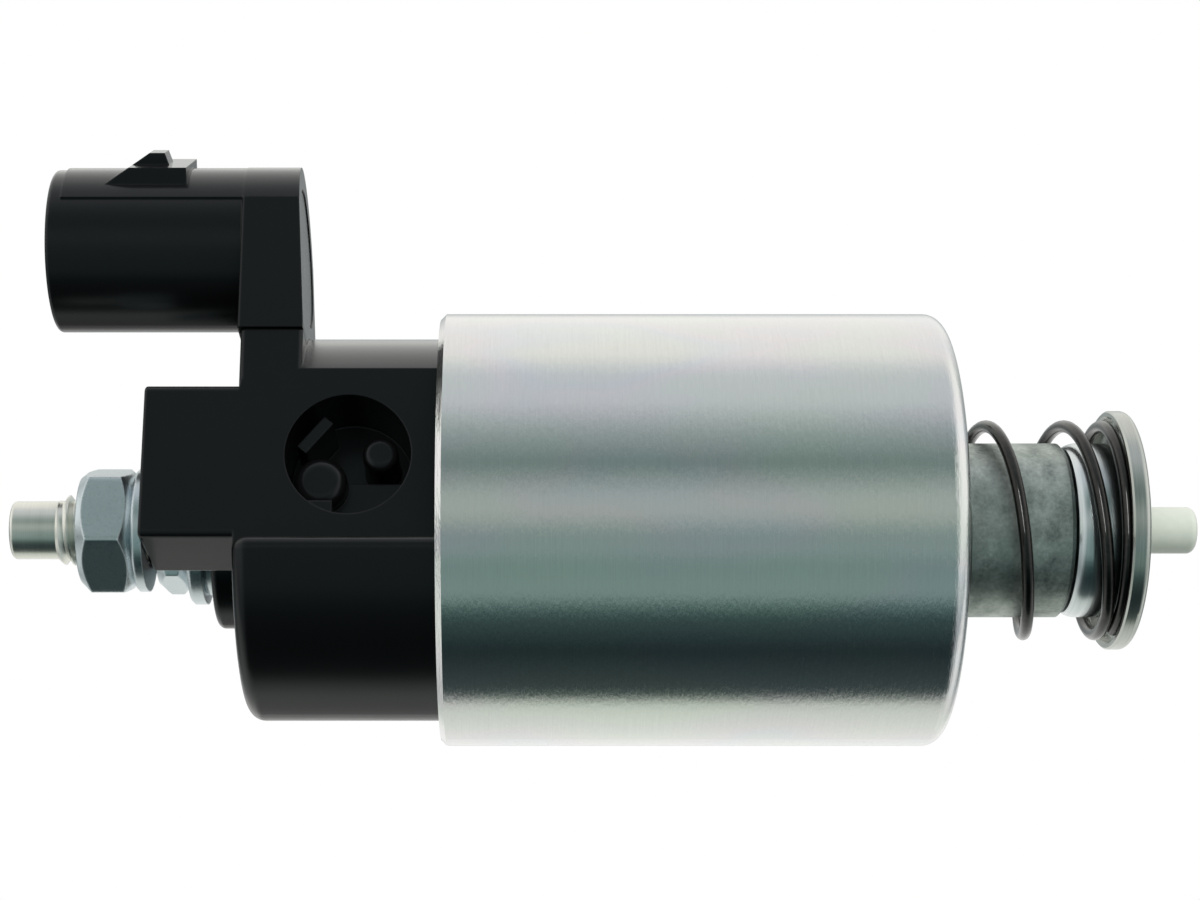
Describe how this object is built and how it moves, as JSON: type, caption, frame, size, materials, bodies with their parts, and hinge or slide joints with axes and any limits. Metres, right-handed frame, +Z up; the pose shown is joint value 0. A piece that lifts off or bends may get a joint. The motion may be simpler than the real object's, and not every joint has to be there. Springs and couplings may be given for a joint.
{
  "type": "starter solenoid",
  "caption": "Starter motor solenoid: drawn steel can with a sprung plunger and spring hat, black terminal cap with plug socket, battery stud and motor stud.",
  "frame": {"origin": "centre of the mounting bolt circle on the can's front face", "axes": "+X along the plunger, out of the can's front face; +Z up the connector stalk; -Y faces the cap's flat front"},
  "size_m": [0.1351, 0.05, 0.0677],
  "materials": {
    "case_zinc": "satin zinc plate, brushed round the can",
    "bare_steel": "turned steel",
    "brass": "drawn brass",
    "nylon": "natural nylon",
    "copper": "enamelled copper",
    "wrap_paper": "insulating paper",
    "gasket_rubber": "soft black rubber",
    "black_moulding": "satin black moulding",
    "tinned_brass": "tinned brass strip",
    "stud_steel": "plated stud",
    "nut_zinc": "zinc plated nut and washers",
    "plunger_steel": "dull grey plated steel",
    "collar_steel": "bright turned steel",
    "hat_steel": "pressed steel",
    "white_nylon": "white nylon",
    "spring_steel": "oil tempered spring wire",
    "phenolic": "brown phenolic"
  },
  "bodies": {
    "housing": {"solenoid_case": "case_zinc", "pole_plate": "bare_steel", "plunger_guide_tube": "brass", "bobbin": "nylon", "pull_in_winding": "copper", "hold_in_winding": "copper", "winding_wrap": "wrap_paper", "rear_yoke_plate": "bare_steel", "fixed_core": "bare_steel", "rod_bushing": "nylon", "cap_gasket": "gasket_rubber", "terminal_cap": "black_moulding", "connector_housing": "black_moulding", "connector_back_cover": "black_moulding", "signal_terminal": "tinned_brass", "b_plus_stud": "stud_steel", "b_plus_nut": "nut_zinc", "b_plus_washer": "nut_zinc", "m_stud": "stud_steel", "m_nut": "nut_zinc", "m_flat_washer": "nut_zinc", "m_spring_washer": "nut_zinc", "pull_in_lead": "copper", "hold_in_lead": "copper", "return_spring": "spring_steel", "contact_return_spring": "spring_steel"},
    "plunger_group": {"plunger": "plunger_steel", "plunger_collar": "collar_steel", "spring_hat": "hat_steel", "push_pin": "white_nylon"},
    "contact_group": {"contact_rod": "brass", "contact_disc": "copper", "front_insulator": "phenolic", "rear_insulator": "phenolic", "contact_washer": "bare_steel", "contact_clip": "spring_steel", "contact_spring": "spring_steel"}
  },
  "joints": [
    {"name": "plunger_slide", "type": "slide", "parent": "housing", "child": "plunger_group", "axis": [-1, 0, 0], "range_m": [0, 0.011], "stiffness_N_per_m": 900, "springref_m": -0.008, "deforming": ["return_spring"]},
    {"name": "contact_slide", "type": "slide", "parent": "housing", "child": "contact_group", "axis": [-1, 0, 0], "range_m": [0, 0.003], "deforming": ["contact_return_spring"]}
  ],
  "couplings": [
    {"joint": "contact_slide", "follows": "plunger_slide", "ratio": 0.27273}
  ]
}
